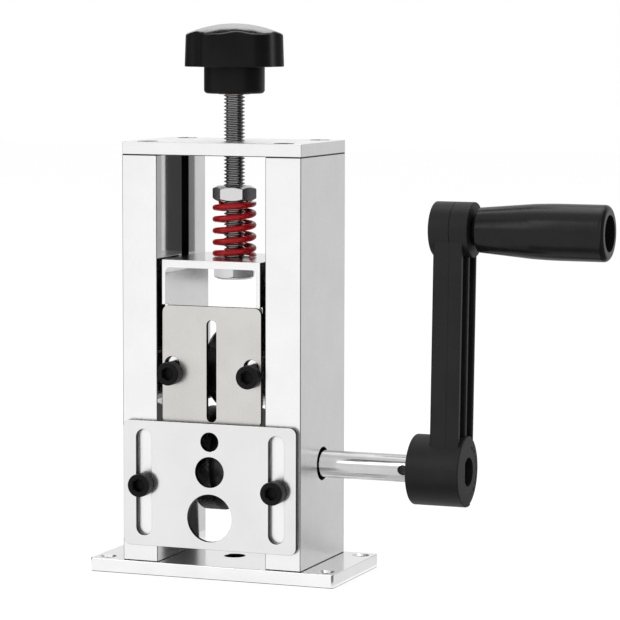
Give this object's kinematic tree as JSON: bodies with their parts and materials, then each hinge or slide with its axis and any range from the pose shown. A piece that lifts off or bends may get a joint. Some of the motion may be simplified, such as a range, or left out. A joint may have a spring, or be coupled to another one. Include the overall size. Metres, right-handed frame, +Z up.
{
  "type": "wire stripping machine",
  "caption": "Bench wire stripper: a screw-loaded round blade over a grooved feed roller, turned by a side crank or a power drill.",
  "frame": {"origin": "centre of the base plate's underside", "axes": "+Z up, +X towards the crank, -Y the side that the wire enters"},
  "size_m": [0.2169, 0.0603, 0.2309],
  "materials": {
    "aluminium": "satin, brushed",
    "sheet_steel": "brushed",
    "bright_steel": "ground and polished",
    "tool_steel": "hardened, dark satin",
    "black_screws": "black oxide",
    "bronze": "sintered bronze, satin",
    "brass": "turned",
    "red_spring": "glossy paint",
    "black_plastic": "moulded, semi-gloss",
    "black_casting": "moulded, matte"
  },
  "bodies": {
    "frame": {"base_plate": "aluminium", "left_wall": "aluminium", "right_wall": "aluminium", "top_plate": "aluminium", "top_screw_1": "black_screws", "top_screw_2": "black_screws", "top_screw_3": "black_screws", "top_screw_4": "black_screws", "base_screw_1": "black_screws", "base_screw_2": "black_screws", "base_screw_3": "black_screws", "base_screw_4": "black_screws", "left_shaft_bush": "bronze", "right_shaft_bush": "bronze", "left_guide_screw": "black_screws", "right_guide_screw": "black_screws"},
    "guide": {"guide_plate": "aluminium"},
    "spring_pack": {"pressure_spring": "red_spring"},
    "spindle": {"pressure_screw": "bright_steel", "spring_nut": "bright_steel", "knob": "black_plastic", "knob_insert": "brass"},
    "carriage": {"carriage_bracket": "aluminium", "left_cheek": "aluminium", "right_cheek": "aluminium", "left_guide_key": "bronze", "right_guide_key": "bronze", "left_key_screw_1": "black_screws", "left_key_screw_2": "black_screws", "right_key_screw_1": "black_screws", "right_key_screw_2": "black_screws", "blade_axle": "bright_steel", "left_axle_screw": "black_screws", "right_axle_screw": "black_screws", "left_sight_screw": "black_screws", "right_sight_screw": "black_screws"},
    "sight": {"sight_plate": "sheet_steel"},
    "blade": {"blade_disc": "tool_steel", "left_blade_collar": "tool_steel", "right_blade_collar": "tool_steel", "blade_bush": "bronze"},
    "crank": {"drive_shaft": "bright_steel", "feed_roller": "tool_steel", "roller_set_screw": "black_screws", "left_roller_spacer": "bright_steel", "right_roller_spacer": "bright_steel", "crank_arm": "black_casting", "crank_set_screw": "black_screws", "grip_spindle": "black_screws"},
    "grip": {"grip": "black_plastic"}
  },
  "joints": [
    {"name": "guide_plate_slide", "type": "slide", "parent": "frame", "child": "guide", "axis": [0, 0, 1], "range_m": [-0.0064, 0.0148]},
    {"name": "screw_travel", "type": "slide", "parent": "frame", "child": "spring_pack", "axis": [0, 0, 1], "range_m": [0, 0.013]},
    {"name": "knob_turn", "type": "hinge", "parent": "spring_pack", "child": "spindle", "pos_m": [0, 0, 0.2], "axis": [0, 0, 1], "range_deg": [0, 3120.5]},
    {"name": "carriage_float", "type": "slide", "parent": "spring_pack", "child": "carriage", "axis": [0, 0, 1], "range_m": [0, 0.005], "stiffness_N_per_m": 20000, "springref_m": -0.003, "deforming": ["pressure_spring"]},
    {"name": "sight_plate_slide", "type": "slide", "parent": "carriage", "child": "sight", "axis": [0, 0, 1], "range_m": [-0.0035, 0]},
    {"name": "blade_spin", "type": "hinge", "parent": "carriage", "child": "blade", "pos_m": [0, 0, 0.0867], "axis": [1, 0, 0], "continuous": true},
    {"name": "crank_turn", "type": "hinge", "parent": "frame", "child": "crank", "pos_m": [0, 0, 0.0475], "axis": [1, 0, 0], "continuous": true},
    {"name": "grip_spin", "type": "hinge", "parent": "crank", "child": "grip", "pos_m": [0.13, 0.00382, 0.14703], "axis": [1, 0, 0], "continuous": true}
  ],
  "couplings": [
    {"joint": "knob_turn", "follows": "screw_travel", "rad_per_m": 4188.8}
  ]
}
